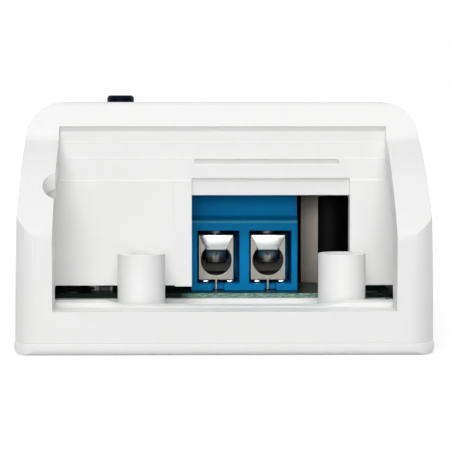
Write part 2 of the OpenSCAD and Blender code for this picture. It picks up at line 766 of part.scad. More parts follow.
module armature_pivot(l, r) {
  translate([0, pivot_y, yoke_top + eps]) rotate([0, 90, 0]) cylinder(h = l, r = r, center = true);
}
module relay_armature() color("gray") at_relay() {
  block(-3.8, 3.8, coil_y - 3.2, yoke_y + yoke_t, yoke_top + eps, yoke_top + 1.05);
  armature_pivot(7.6, pivot_r);
}
module relay_contact_spring() color("goldenrod") at_relay() {
  block(-2, 2, coil_y + 2, relay_l - 1.9, yoke_top + 1.05, yoke_top + 1.25);
  rod(0, relay_l - 3, yoke_top + 1.2, yoke_top + 1.65, 0.9);
}
module relay_fixed_contact() color("goldenrod") at_relay() {
  arm = yoke_top + 2.4;
  lead(0, relay_l - 1.6, 0.4, base_h + 0.5);
  block(-1.6, 1.6, relay_l - 1.75, relay_l - 1.45, base_h, arm + 0.3);
  block(-1.6, 1.6, relay_l - 4.2, relay_l - 1.45, arm, arm + 0.3);
  rod(0, relay_l - 3, arm - 0.35, arm + eps, 0.9);
}

// Power supply
module transformer_core() color("darkslategray") on_board(trafo_x, trafo_y) difference() {
  block(-trafo_w / 2, trafo_w / 2, -2.8, 2.8, 2, trafo_h);
  for (x = [-1, 1]) block(x * 3.4 - 1.5, x * 3.4 + 1.5, -4, 4, 4, trafo_h - 2);
}
module transformer_bobbin() color("black") on_board(trafo_x, trafo_y) {
  block(-trafo_w / 2, trafo_w / 2, -5.6, 5.6, 0, 2);
  for (x = [-1, 1], y = [-1, 0, 1]) lead(x * (trafo_w / 2 - 1), y * 3.8, 0.35, eps);
}
module transformer_winding() color("gold") on_board(trafo_x, trafo_y) difference() {
  translate([0, 0, 4.1]) linear_extrude(trafo_h - 6.2) plan(9.6, 10.4, 1.4);
  block(-1.95, 1.95, -2.9, 2.9, 0, trafo_h);
}
module capacitor_can(d, h, s) {
  rod(0, 0, 0.4, h - 0.1, d / 2 - 0.2);
  for (i = [-1, 1]) lead(0, i * s, 0.3, 0.5);
}
module capacitor_sleeve(d, h) {
  difference() {
    rod(0, 0, 0, h, d / 2);
    rod(0, 0, -1, h - 0.1, d / 2 - 0.15);
    rod(0, 0, 0, h + 1, d / 2 - 1);
  }
}
module reservoir_capacitor() color("silver") on_board(cap_x, cap_y) capacitor_can(cap_dia, cap_h, 1.75);
module reservoir_sleeve() color("black") on_board(cap_x, cap_y) capacitor_sleeve(cap_dia, cap_h);
module output_capacitor() color("silver") on_board(cap2_x, cap2_y) capacitor_can(cap2_dia, cap2_h, 1.25);
module output_sleeve() color("black") on_board(cap2_x, cap2_y) capacitor_sleeve(cap2_dia, cap2_h);
module varistor() color("steelblue") on_board(varistor_x, varistor_y) {
  translate([0, 0, varistor_r + 0.7]) rotate([90, 0, 0]) cylinder(h = 3.2, r = varistor_r, center = true);
  for (i = [-1, 1]) lead(i * 2.5, 0, 0.35, 2.4);
}
module fuse_resistor() color("tan") on_board(fuse_x, fuse_y) {
  translate([0, 0, 1.7]) rotate([90, 0, 0]) cylinder(h = fuse_l, r = 1.6, center = true);
  translate([0, 0, 1.7]) rotate([90, 0, 0]) cylinder(h = 2 * fuse_reach, r = 0.35, center = true);
  for (i = [-1, 1]) lead(0, i * fuse_reach, 0.35, 2.05);
}
module filter_choke() color("darkolivegreen") on_board(choke_x, choke_y) {
  rod(0, 0, 0, 0.8, 3);
  rod(0, 0, 0.7, 6.2, 2.6);
  rod(0, 0, 6.1, 7, 3);
  for (i = [-1, 1]) lead(i * 1.5, 0, 0.35, eps);
}
module gull_chip(w, l, h, legs, step, reach) {
  block(-w / 2, w / 2, -l / 2, l / 2, 0, h);
  for (s = [-1, 1], k = [0:legs - 1])
    translate([s * (w / 2 + reach / 2 - eps), (k - (legs - 1) / 2) * step, 0.3])
      cube([reach, 0.4, 0.6], center = true);
}
module rectifier() color("black") on_board(radio_x, 6.4 - board_l / 2) gull_chip(4, 4.7, 2.4, 2, 2.5, 1);
module radio_chip() color("black") on_board(radio_x, radio_y) block(-2.5, 2.5, -2.5, 2.5, 0, 0.85);
module memory_chip() color("black") on_board(-0.1 * board_w, radio_y) gull_chip(3.9, 4.9, 1.5, 4, 1.27, 1);
module crystal() color("silver") on_board(-0.4424 * board_w, radio_y) block(-1.25, 1.25, -1.6, 1.6, 0, 0.7);
module regulator() color("black")
  on_board(-0.33 * board_w, board_l / 2 - 1.9) gull_chip(2.6, 2.9, 1.1, 3, 0.95, 0.7);
module chip_passives() color("burlywood") {
  near = [[-0.3455, 2.6], [-0.4485, 7], [-0.4485, 9], [-0.16, 8.2]];
  middle = [[-0.4485, 0], [-0.2, -1.2], [-0.2, 0.8], [-0.0606, 0], [-0.0606, -2.2]];
  for (p = near) on_board(p.x * board_w, p.y - board_l / 2) block(-0.8, 0.8, -0.4, 0.4, 0, 0.5);
  for (p = middle) on_board(p.x * board_w, p.y + button_y) block(-0.4, 0.4, -0.8, 0.8, 0, 0.5);
}

base_tray();
top_shell();
terminal_cover();
cover_screws();
circuit_board();
output_terminal_housing();
output_clamp_cages();
output_wire_guard_left();
output_wire_guard_right();
output_clamp_screw_left();
output_clamp_screw_right();
input_terminal_housing();
input_clamp_cages();
input_wire_guard_left();
input_wire_guard_right();
input_clamp_screw_left();
input_clamp_screw_right();
button_cap();
switch_base();
switch_frame();
switch_dome();
switch_plunger();
light_pipe();
status_led();
relay_case();
relay_base();
relay_pins();
relay_yoke();
relay_core();
relay_bobbin();
relay_winding();
relay_armature();
relay_contact_spring();
relay_fixed_contact();
transformer_core();
transformer_bobbin();
transformer_winding();
reservoir_capacitor();
reservoir_sleeve();
output_capacitor();
output_sleeve();
varistor();
fuse_resistor();
filter_choke();
rectifier();
radio_chip();
memory_chip();
crystal();
regulator();
chip_passives();
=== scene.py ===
# %% [markdown]
# # A smart relay module, from CAD frame to studio picture
# The object is a small mains relay in a white plastic box. The cover of the near end is off,
# so the picture looks into a wiring bay with a blue screw terminal.
# The CAD model fixes every size and every joint. Here we only give it looks: rounded edges,
# bent sheet metal, plastics and metals, and a plain studio.

# %% Load the frame
import bpy
import json
import math
import bmesh
from mathutils import Matrix, Vector

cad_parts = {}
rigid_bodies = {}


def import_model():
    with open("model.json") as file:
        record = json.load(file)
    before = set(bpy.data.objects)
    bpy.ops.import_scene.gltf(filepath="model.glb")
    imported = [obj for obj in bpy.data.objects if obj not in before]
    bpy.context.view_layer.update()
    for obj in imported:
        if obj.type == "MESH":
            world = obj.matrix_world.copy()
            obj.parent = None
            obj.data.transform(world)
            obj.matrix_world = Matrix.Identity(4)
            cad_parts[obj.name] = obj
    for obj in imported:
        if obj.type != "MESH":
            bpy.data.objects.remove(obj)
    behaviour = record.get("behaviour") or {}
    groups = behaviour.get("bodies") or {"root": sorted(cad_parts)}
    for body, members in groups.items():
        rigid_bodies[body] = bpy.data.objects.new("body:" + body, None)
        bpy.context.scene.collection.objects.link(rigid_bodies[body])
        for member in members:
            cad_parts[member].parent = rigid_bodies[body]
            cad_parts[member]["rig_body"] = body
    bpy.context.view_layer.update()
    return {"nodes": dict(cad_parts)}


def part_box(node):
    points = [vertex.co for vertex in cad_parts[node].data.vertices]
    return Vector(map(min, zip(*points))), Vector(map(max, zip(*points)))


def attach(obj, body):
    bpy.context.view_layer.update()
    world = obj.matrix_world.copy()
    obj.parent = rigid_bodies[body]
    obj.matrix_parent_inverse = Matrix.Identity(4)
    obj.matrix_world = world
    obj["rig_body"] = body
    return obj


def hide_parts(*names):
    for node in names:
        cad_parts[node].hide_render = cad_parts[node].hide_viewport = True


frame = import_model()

mm = 0.001  # the frame is in metres, while most sizes below are written in millimetres
nodes = frame["nodes"]

# %% [markdown]
# ## The camera
# A product photographer stands well back with a long lens, so that upright edges stay upright.
# The distance comes from how fast the far lines shrink in the photograph: about 19 cm from the
# near end, a little left of the middle, at the height of the top face. That is why the top shows
# only as a thin strip.

# %% Camera
eye = Vector((-0.00356, -0.234, 0.02272))
aim = Vector((0.01871, 1.0, -0.0580))
lens = bpy.data.cameras.new("camera")
lens.lens, lens.sensor_width = 171.04, 36.0
lens.clip_start, lens.clip_end = 0.001, 10.0
camera = bpy.data.objects.new("camera", lens)
bpy.context.scene.collection.objects.link(camera)
camera.location = eye
camera.rotation_euler = aim.to_track_quat("-Z", "Y").to_euler()
bpy.context.scene.camera = camera

# %% [markdown]
# ## Small tools
# Colours are written as sRGB hex codes, but shader sockets want linear light, so one function
# converts them. A second adds a node and fills its sockets: a plain value is set on the socket,
# and another node's output is linked to it. Two more open and close a material.

# %% Colour and node helpers
def tint(code):
    """An sRGB hex code as linear red, green, blue and alpha."""
    parts = [int(code[i:i + 2], 16) / 255 for i in (0, 2, 4)]
    return [c / 12.92 if c <= 0.04045 else ((c + 0.055) / 1.055) ** 2.4 for c in parts] + [1.0]


def add(tree, kind, values=None, **settings):
    """Add a node; values go to its sockets by name or number, settings to the node itself."""
    made = tree.nodes.new("ShaderNode" + kind)
    for key, value in settings.items():
        setattr(made, key, value)
    for key, value in (values or {}).items():
        if isinstance(value, bpy.types.NodeSocket):
            tree.links.new(value, made.inputs[key])
        else:
            made.inputs[key].default_value = value
    return made


def blank(name):
    """A new material with an empty tree, and the object's own coordinates to start from."""
    mat = bpy.data.materials.new(name)
    mat.use_nodes = True
    mat.node_tree.nodes.clear()
    return mat, mat.node_tree, add(mat.node_tree, "TexCoord").outputs["Object"]


def close(mat, shader):
    """Link the last shader to the material's output."""
    add(mat.node_tree, "OutputMaterial", {"Surface": shader})
    print("material:", mat.name, "nodes:", len(mat.node_tree.nodes))
    return mat


print("white as linear:", [round(c, 3) for c in tint("f2f2f0")])

# %% [markdown]
# Nearly every material here is built from the same four moves: make some noise of a known size,
# use it to go from one colour to another, to spread a value over a range, and to raise a bump.
# Giving each move a name keeps the recipes below short. A fifth helper is for the studio: it
# tells one kind of ray from another.

# %% Recipe helpers
def noise(tree, where, size, detail=2.0):
    """Noise whose features are about `size` mm across."""
    made = add(tree, "TexNoise", {"Vector": where, "Scale": 1 / (size * mm), "Detail": detail})
    return made.outputs["Fac"]


def blend(tree, factor, first, second):
    """A colour from first to second, each of them a hex code or another node's output."""
    first, second = (tint(c) if isinstance(c, str) else c for c in (first, second))
    return add(tree, "Mix", {0: factor, 6: first, 7: second}, data_type="RGBA").outputs[2]


def spread(tree, value, low, high):
    """A value between 0 and 1 brought to the range from low to high."""
    return add(tree, "MapRange", {"Value": value, "To Min": low, "To Max": high}).outputs[0]


def bumped(tree, height, strength, depth):
    """A surface normal that makes a height look `depth` mm deep."""
    values = {"Height": height, "Strength": strength, "Distance": depth * mm}
    return add(tree, "Bump", values).outputs[0]


def ray_is(tree, *kinds):
    """1 for rays of the given kinds, as the Light Path node names them, and 0 for the rest."""
    path = add(tree, "LightPath")
    seen = path.outputs[kinds[0]]
    for kind in kinds[1:]:
        either = add(tree, "Math", {0: seen, 1: path.outputs[kind]}, operation="MAXIMUM")
        seen = either.outputs[0]
    return seen


print("recipe helpers:", [f.__name__ for f in (noise, blend, spread, bumped, ray_is)])

# %% [markdown]
# ## Studio
# White on white is the hard case. The backdrop must be pure white for the eye and for
# reflections, but if it lit the object just as strongly, every face would wash out. The Light
# Path node tells camera and mirror rays from the rest, so the lighting part can be weaker.

# %% World
white = tint("ffffff")
world = bpy.data.worlds.new("studio")
bpy.context.scene.world = world
bpy.context.scene.view_settings.view_transform = "Standard"
world.use_nodes = True
tree = world.node_tree
tree.nodes.clear()
seen = ray_is(tree, "Is Camera Ray", "Is Glossy Ray", "Is Transmission Ray")
sky = add(tree, "Background", {"Color": white, "Strength": spread(tree, seen, 0.05, 1.0)})
add(tree, "OutputWorld", {"Surface": sky.outputs[0]})
print("world nodes:", len(tree.nodes))

# %% [markdown]
# The floor works the same way: part glow, which only the camera and mirrors see, and part real
# surface, which keeps the contact shadow. Near the object the glow is weaker, so that the shadow
# has something to darken; further out the floor melts into the backdrop.

# %% Floor
glow_near, glow_far = 0.06, 0.2  # metres from the middle of the floor

floor_mat, tree, where = blank("white_sweep_paper")
paper = noise(tree, where, 4.0, detail=3.0)
dull = add(tree, "BsdfDiffuse", {"Color": spread(tree, paper, 0.70, 0.74)})
away = add(tree, "VectorMath", {0: where}, operation="LENGTH")
far = add(tree, "MapRange", {"Value": away.outputs["Value"], "From Min": glow_near,
                             "From Max": glow_far, "To Min": 0.5, "To Max": 1.0})
seen = ray_is(tree, "Is Camera Ray", "Is Glossy Ray")
power = add(tree, "Math", {0: far.outputs[0], 1: seen}, operation="MULTIPLY")
glow = add(tree, "Emission", {"Color": white, "Strength": power.outputs[0]})
both = add(tree, "AddShader", {0: dull.outputs[0], 1: glow.outputs[0]})
close(floor_mat, both.outputs[0])

bpy.ops.object.select_all(action="DESELECT")
bpy.ops.mesh.primitive_plane_add(size=6.0, location=(0, 0, -0.00002))
floor = bpy.context.object
floor.name = "floor"
floor.data.materials.append(floor_mat)
print("floor made at z in mm:", round(floor.location.z / mm, 3))

# %% [markdown]
# Six soft boxes do the rest. In the photograph even the deep terminal is bright, so the main
# light is narrow and stands low, right beside the camera, and shines straight into the bay. One
# above the camera lifts the leaning brow, one overhead lights the slopes, the shelf and the top,
# and a weak one at the left reaches the inner side of the right leg. The last two stand behind:
# the photograph does not need them, but the model is also looked at from its other sides.

# %% Soft boxes
subject = Vector((0, 0, 0.01))


def soft_box(name, place, wide, high, power):
    """A rectangular area light that looks at the subject; sizes in metres, power in watts."""
    data = bpy.data.lights.new(name, "AREA")
    data.shape, data.size, data.size_y, data.energy = "RECTANGLE", wide, high, power
    lamp = bpy.data.objects.new(name, data)
    bpy.context.scene.collection.objects.link(lamp)
    lamp.location = place
    lamp.rotation_euler = (subject - Vector(place)).to_track_quat("-Z", "Y").to_euler()
    print(name, "at", place, "W", power)


soft_box("front_box", (-0.08, -1.3, 0.2), 0.5, 0.2, 4.3)
soft_box("brow_box", (-0.1, -0.95, 0.85), 1.0, 0.3, 6.6)
soft_box("top_box", (-0.05, -0.1, 1.2), 1.0, 1.0, 5.0)
soft_box("left_box", (-0.9, -0.8, 0.3), 0.5, 0.5, 0.3)
for name, x in (("rear_left_box", -1.0), ("rear_right_box", 1.0)):
    soft_box(name, (x, 0.7, 0.4), 0.8, 0.5, 3.5)

# %% [markdown]
# ## Moulded plastics
# Most plastics here were pressed into a steel mould, and the mould's skin decides how they shine.
# A spark-eroded mould leaves an even grain and a satin sheen; a polished one a wet gloss. The
# real grain is about 0.05 mm, finer than a pixel, so it is drawn a little coarser. Broad, weak
# clouds of a second tone stand for the way the melt flowed and cooled. Ferrite, ceramic and
# lacquer have a skin of the same kind, so they use the same recipe.

# %% Moulded plastic family
def moulded(name, pale, deep, rough, grain, relief, gloss=0.5, cloud=9.0, soft=0.0):
    """A plastic of two close tones, with a grain of `grain` mm that breaks up its sheen."""
    mat, tree, where = blank(name)
    flow, skin = noise(tree, where, cloud), noise(tree, where, grain)
    body = add(tree, "BsdfPrincipled", {
        "Base Color": blend(tree, flow, pale, deep),
        "Roughness": spread(tree, skin, rough - 0.08, rough + 0.08),
        "Specular IOR Level": gloss, "Normal": bumped(tree, skin, relief, 0.02),
        "Subsurface Weight": soft, "Subsurface Scale": 1.0,
        "Subsurface Radius": (0.6 * mm, 0.6 * mm, 0.55 * mm)})
    return close(mat, body.outputs[0])


# White ABS lets light in a little, which softens its shadows. Blue PBT is nearly matt; a paler
# and smoother blue on its ridge is a painted highlight. The navy button is so dark that it needs
# almost no gloss.
abs_white = moulded("moulded_white_abs", "f3f3f2", "eff0ef", 0.46, 0.16, 0.08, 0.45, soft=0.06)
pbt_blue = moulded("moulded_blue_pbt", "0289c8", "007ebc", 0.55, 0.12, 0.1, 0.06, cloud=3.0)
pbt_painted_highlight = moulded("blue_pbt_painted_highlight", "58bbe2", "36a2d2", 0.4, 0.12, 0.1, 0.2, cloud=1.0)
abs_navy = moulded("polished_navy_abs", "040d20", "020714", 0.42, 0.2, 0.05, 0.03, cloud=1.5)
epoxy_black = moulded("black_moulding_epoxy", "1b1b1c", "121213", 0.55, 0.1, 0.2, 0.3, cloud=2.0)
relay_blue = moulded("relay_polyester", "2a62a8", "23589c", 0.35, 0.15, 0.08, 0.4)
bobbin_white = moulded("natural_nylon", "e6e0cf", "dcd5c2", 0.5, 0.15, 0.1, 0.4, soft=0.1)
ferrite = moulded("sintered_ferrite", "333336", "242426", 0.62, 0.08, 0.5, 0.35, cloud=0.9)
dip_blue = moulded("dipped_blue_epoxy", "2f68ad", "2459a0", 0.25, 0.6, 0.3, 0.5, cloud=2.0)
lacquer_tan = moulded("resistor_lacquer", "c9b48c", "b9a27a", 0.4, 0.3, 0.25, 0.5, cloud=1.2)
ceramic = moulded("chip_ceramic", "3a3a3c", "2c2c2e", 0.4, 0.05, 0.1, 0.5, cloud=0.6)
lamp_epoxy = moulded("lamp_epoxy", "e9eed6", "dfe6c8", 0.3, 0.1, 0.05, 0.5, cloud=0.6)

# %% [markdown]
# ## Metals
# A metal has no colour of its own under the shine: it tints what it mirrors, and the fine lines
# left by rolling or drawing blur the mirror one way. Noise stretched along one axis draws those
# lines; `run` says along which axis they are long.

# %% Metal family
def metal(name, pale, deep, rough, run, line=0.05, relief=0.12):
    """A metal with drawn lines `line` mm apart, twelve times as long along the `run` axis."""
    mat, tree, where = blank(name)
    fine = [1 / (line * mm)] * 3
    fine["xyz".index(run)] /= 12
    lines = add(tree, "Mapping", {"Vector": where, "Scale": fine})
    drawn = add(tree, "TexNoise", {"Vector": lines.outputs[0], "Scale": 1.0, "Detail": 3.0})
    drawn = drawn.outputs["Fac"]
    stain = noise(tree, where, 1.4)
    body = add(tree, "BsdfPrincipled", {
        "Base Color": blend(tree, stain, pale, deep), "Metallic": 1.0,
        "Roughness": spread(tree, drawn, rough - 0.08, rough + 0.1),
        "Normal": bumped(tree, drawn, relief, 0.01)})
    return close(mat, body.outputs[0])


# The wire guards are bright tin, almost a mirror. The nickel of the cages is much greyer, and
# inside them a darker steel is painted shade. The relay has iron for its field and bronze contacts.
tin = metal("bright_tin_plate", "f4f5f5", "eceeee", 0.2, "z")
nickel = metal("nickel_plated_steel", "84827c", "73716c", 0.36, "x")
zinc = metal("zinc_plated_steel", "8b8e91", "7b7f83", 0.36, "z")
painted_shade_steel = metal("nickel_painted_shade_inside", "4b4a48", "3f3e3d", 0.5, "x")
iron = metal("annealed_iron", "8f9092", "808184", 0.42, "y")
bronze = metal("contact_bronze", "d8b878", "c9a766", 0.3, "y")
aluminium = metal("drawn_aluminium", "d9dadb", "cfd0d2", 0.3, "z")

# %% [markdown]
# ## Rounding the edges
# CAD edges are perfectly sharp, but no tool can cut one, and it is the thin light line on a
# rounded edge that makes plastic look real. Only outer edges are rounded: in a mould those are
# cut inwards, while an inner corner stays crisp. A bevel weight on each edge says so, and a
# smaller weight is a finer round. Where bevels run into each other they can leave slivers and
# folded corners, so a second function clears those away.

# %% Bevel tools
sharp = math.radians(28)  # an edge that turns by more than this is rounded
sliver = 0.0002 * mm      # edges shorter than this are left over from a bevel


def rounded_off(piece, edge, share):
    """Bevel the sharp outer edges of a piece over `edge` mm, scaled by share(middle)."""
    shape = bmesh.new()
    shape.from_mesh(piece.data)
    layers = shape.edges.layers.float
    weight = layers.get("bevel_weight_edge") or layers.new("bevel_weight_edge")
    for line in shape.edges:
        turned = len(line.link_faces) == 2 and line.calc_face_angle_signed(0.0) > sharp
        middle = (line.verts[0].co + line.verts[1].co) / 2 / mm
        line[weight] = share(middle) if turned else 0.0
    shape.to_mesh(piece.data)
    shape.free()
    bevel = piece.modifiers.new("edge", "BEVEL")
    bevel.width, bevel.segments, bevel.limit_method = edge * mm, 2, "WEIGHT"
    bevel.use_clamp_overlap, bevel.loop_slide = False, False
    bpy.ops.object.modifier_apply(modifier="edge")


def cleaned(piece):
    """Drop what a bevel leaves behind: faces without area, and corners folded on to a neighbour."""
    shape = bmesh.new()
    shape.from_mesh(piece.data)
    bmesh.ops.dissolve_degenerate(shape, dist=sliver, edges=shape.edges)
    folded = [tip for tip in shape.verts if len(tip.link_edges) == 2]
    bmesh.ops.dissolve_verts(shape, verts=folded)
    shape.to_mesh(piece.data)
    shape.free()


print("edges are rounded where they turn by over", round(math.degrees(sharp)), "degrees")

# %% [markdown]
# A CAD node is loose triangles, and we never touch it: we copy it, weld the copy's vertices, drop
# the flat seams, bevel what is still sharp, and let the copy stand for the node. Every vertex is
# then held inside the node's own box, because looks may not change a size. A weighted normal
# keeps big flats flat beside their small bevels.

# %% Softened copies
weld = 0.004 * mm            # CAD corners closer than this are one corner
flat = math.radians(0.6)     # seams that turn by less than this are dropped
smooth = math.radians(32)    # faces that meet at less than this shade as one


def softened(node, edge, mat, second=None, where=None, share=lambda middle: 1.0):
    """A copy of a CAD node, rounded over `edge` mm; faces that pass `where` get `second`."""
    source = nodes[node]
    piece = bpy.data.objects.new(node + "_finished", source.data.copy())
    bpy.context.scene.collection.objects.link(piece)
    bpy.ops.object.select_all(action="DESELECT")
    piece.select_set(True)
    bpy.context.view_layer.objects.active = piece
    bpy.ops.object.mode_set(mode="EDIT")
    bpy.ops.mesh.select_all(action="SELECT")
    bpy.ops.mesh.remove_doubles(threshold=weld)
    bpy.ops.mesh.dissolve_limited(angle_limit=flat)
    bpy.ops.mesh.normals_make_consistent(inside=False)
    bpy.ops.object.mode_set(mode="OBJECT")
    rounded_off(piece, edge, share)
    low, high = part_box(node)
    for vertex in piece.data.vertices:
        vertex.co = [min(max(c, a), b) for c, a, b in zip(vertex.co, low, high)]
    cleaned(piece)
    bpy.ops.object.shade_smooth_by_angle(angle=smooth)
    even = piece.modifiers.new("even", "WEIGHTED_NORMAL")
    even.keep_sharp, even.weight = True, 100
    bpy.ops.object.modifier_apply(modifier="even")
    piece.data.materials.clear()
    for use in (mat, second) if second else (mat,):
        piece.data.materials.append(use)
    for face in piece.data.polygons:
        face.material_index = int(bool(where and where(face.center / mm)))
    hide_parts(node)
    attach(piece, source["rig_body"])
    return piece


print("nodes that can be softened:", len(nodes))

# %% [markdown]
# The housing comes first. The bulkhead at the back of the wiring bay is stepped in bands. In the
# photograph the upper edges of the bands catch the light, so they get the full round, and all
# other edges of the shell a fine one.

# %% Housing
band_tops = (15.28, 17.38, 18.9)  # heights of the bands in mm
band_fronts = (31.2, 31.95)       # how far in mm their fronts lie from the middle of the box


def on_ledge(middle):
    """A full round on the upper front edges of the bulkhead's bands, and a fine one elsewhere."""
    in_front = band_fronts[0] < abs(middle.y) < band_fronts[1]
    ledge = in_front and min(abs(middle.z - z) for z in band_tops) < 0.02
    return 1.0 if ledge else 0.3


housing = [softened("top_shell", 0.12, abs_white, share=on_ledge),
           softened("base_tray", 0.1, abs_white), softened("terminal_cover", 0.1, abs_white),
           softened("button_cap", 0.06, abs_navy)]
print("housing faces:", {o.name: len(o.data.polygons) for o in housing})

# %% [markdown]
# ## Screw terminals
# Each terminal is a blue PBT block with two cells. In a cell sits a nickel-plated cage, and the
# screw above it drives a springy tin-plated guard down on to the wire. The block and the cages
# keep their CAD form, with edges rounded to what such small mouldings and stampings have. The
# ridge across the block gets a paler blue as a painted highlight.

# %% Terminal blocks, cages and screws
low, high = (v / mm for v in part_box("output_terminal_housing"))
block_face, ridge_z = -low.y, low.z + (high.z - low.z) * 2 / 3
cage_face = -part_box("output_clamp_cages")[0].y / mm
ridge_deep, ridge_half, plate_deep = 0.4, 0.15, 0.3  # mm


def on_ridge(middle):
    """True for the rounded ridge between the front of a block and its upper slope, where a
    highlight is painted.
    """
    return abs(middle.y) > block_face - ridge_deep and abs(middle.z - ridge_z) < ridge_half


def inside_cage(middle):
    """True for faces of a cage behind its front plate, which get a darker steel as painted shade.
    """
    return abs(middle.y) < cage_face - plate_deep


for end in ("output", "input"):
    # The ridge of each block gets the paler blue: a painted highlight.
    softened(end + "_terminal_housing", 0.12, pbt_blue, pbt_painted_highlight, on_ridge)
    # Inside each cage the darker steel is painted shade.
    softened(end + "_clamp_cages", 0.06, nickel, painted_shade_steel, inside_cage)
    for side in ("left", "right"):
        softened(f"{end}_clamp_screw_{side}", 0.06, zinc)
softened("cover_screws", 0.06, zinc)

# %% [markdown]
# Small bright pieces that repeat are modelled once, from a cube with its edges bevelled, and then
# copied. A matrix for each copy says where it goes and how it is turned, and all copies are
# joined to one piece.

# %% Cubes and copies
smooth_small = math.radians(40)  # the shading angle for small metal pieces


def bevelled_cube(sizes, edge):
    """A cube with the given sizes in mm, and its edges rounded over `edge` mm."""
    bpy.ops.object.select_all(action="DESELECT")
    bpy.ops.mesh.primitive_cube_add(size=mm, location=(0, 0, 0))
    bpy.ops.object.mode_set(mode="EDIT")
    bpy.ops.mesh.select_all(action="SELECT")
    bpy.ops.transform.resize(value=sizes)
    bpy.ops.mesh.bevel(offset=edge * mm, segments=2, affect="EDGES")
    bpy.ops.object.mode_set(mode="OBJECT")
    return bpy.context.object


def scattered(model, name, moves, mat):
    """Copies of a model, one for each matrix, joined to one piece that rides the housing."""
    copies = []
    for move in moves:
        shape = model.data.copy()
        shape.transform(move)
        copies.append(bpy.data.objects.new(name, shape))
        bpy.context.scene.collection.objects.link(copies[-1])
    bpy.data.objects.remove(model)
    bpy.ops.object.select_all(action="DESELECT")
    for copy in copies:
        copy.select_set(True)
    bpy.context.view_layer.objects.active = copies[0]
    bpy.ops.object.join()
    piece = bpy.context.object
    piece.name = name
    bpy.ops.object.shade_smooth_by_angle(angle=smooth_small)
    piece.data.materials.append(mat)
    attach(piece, "housing")
    print(name, "copies:", len(moves))


half_turn = Matrix.Rotation(math.pi, 4, "Z")
print("half turn takes X 1 to X", round((half_turn @ Vector((1, 0, 0))).x))

# %% [markdown]
# Each cage stands on two small tin-plated feet, which show as bright specks on the sill below it.
# The far terminal is the near one turned half round the middle of the box, so its feet come from
# a half turn.

# %% Cage feet
foot_back, foot_rise = 0.2, 0.87                     # mm behind the cage's front, above the board
from_left, from_right = (0.69, 3.06), (2.79, 0.41)   # mm from the outer sides of the two cages

low, high = (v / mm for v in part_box("output_clamp_cages"))
foot_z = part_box("circuit_board")[1].z / mm + foot_rise
feet = []
for x in [low.x + step for step in from_left] + [high.x - step for step in from_right]:
    spot = Matrix.Translation((x * mm, (low.y + foot_back) * mm, foot_z * mm))
    feet += [spot, half_turn @ spot]
scattered(bevelled_cube((0.5, 0.3, 0.2), 0.04), "cage_feet", feet, tin)

# %% [markdown]
# The wire guards are strips of 0.25 mm sheet, bent three times: a flap in front of the cage that
# widens upwards, a step through the wire hole, and a leaf under the screw. A sheet-metal worker
# starts with the flat strip, so we do too. First comes its path, seen from the side, with short
# steps round each bend.

# %% Wire guards: the path of the strip
def bent(points, radius, steps=5):
    """The path through the points with each inner corner rounded to a radius."""
    path = [Vector(points[0])]
    for a, b, c in zip(points, points[1:], points[2:]):
        a, b, c = Vector(a), Vector(b), Vector(c)
        u, v = (a - b).normalized(), (c - b).normalized()
        reach = radius / math.tan(u.angle(v) / 2)
        for step in range(steps + 1):
            t = step / steps
            path.append(b + u * reach * (1 - t) ** 2 + v * reach * t ** 2)
    return path + [Vector(points[-1])]


thick, bend = 0.25, 0.32  # mm
lo, hi = (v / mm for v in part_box("output_wire_guard_left"))
middle_x = (lo.x + hi.x) / 2
flap_foot, leaf = hi.z - 1.58, lo.z + thick / 2
strip = bent([(lo.y + 0.28, hi.z - 0.03), (lo.y + 0.42, flap_foot), (lo.y + 1.6, flap_foot),
              (lo.y + 2.2, leaf), (hi.y - 0.02, leaf)], bend)
length = sum((b - a).length for a, b in zip(strip, strip[1:]))
print("strip points:", len(strip), "length in mm:", round(length, 2))

# %% [markdown]
# Now the strip itself. Half of a plane is deleted, which leaves one edge. That edge is moved to
# the start of the path and extruded from point to point, and at each point it is scaled to the
# width that the strip has there. Solidify gives it its thickness, and a bevel breaks its edges.

# %% Wire guards: extrude and thicken
neck, flap_rise = 1.96, 1.36  # mm: width through the hole, height over which the flap widens


def strip_width(z):
    """Full width of the strip at a height in mm: narrow through the hole, wider up the flap."""
    return neck + (hi.x - lo.x - neck) * min(max((z - hi.z + flap_rise) / flap_rise, 0.0), 1.0)


bpy.ops.object.select_all(action="DESELECT")
bpy.ops.mesh.primitive_plane_add(size=mm, location=(0, 0, 0))
guard = bpy.context.object
bpy.ops.object.mode_set(mode="EDIT")
bpy.ops.mesh.select_mode(type="VERT")
bpy.ops.mesh.select_all(action="DESELECT")
bpy.ops.object.mode_set(mode="OBJECT")
for vertex in guard.data.vertices:
    vertex.select = vertex.co.y > 0
bpy.ops.object.mode_set(mode="EDIT")
bpy.ops.mesh.delete(type="VERT")
bpy.ops.mesh.select_all(action="SELECT")
start = (middle_x * mm, strip[0].x * mm + 0.5 * mm, strip[0].y * mm)
bpy.ops.transform.translate(value=start)
bpy.ops.transform.resize(value=(strip_width(strip[0].y), 1, 1))
for a, b in zip(strip, strip[1:]):
    step = (0, (b.x - a.x) * mm, (b.y - a.y) * mm)
    bpy.ops.mesh.extrude_region_move(TRANSFORM_OT_translate={"value": step})
    bpy.ops.transform.resize(value=(strip_width(b.y) / strip_width(a.y), 1, 1))
bpy.ops.object.mode_set(mode="OBJECT")
sheet = guard.modifiers.new("sheet", "SOLIDIFY")
sheet.thickness, sheet.offset = thick * mm, 0.0
round_off = guard.modifiers.new("round_off", "BEVEL")
round_off.width, round_off.segments, round_off.limit_method = 0.05 * mm, 2, "ANGLE"
for name in ("sheet", "round_off"):
    bpy.ops.object.modifier_apply(modifier=name)
bpy.ops.object.mode_set(mode="EDIT")
bpy.ops.mesh.select_all(action="SELECT")
bpy.ops.mesh.normals_make_consistent(inside=False)
bpy.ops.object.mode_set(mode="OBJECT")
bpy.ops.object.shade_smooth_by_angle(angle=smooth_small)
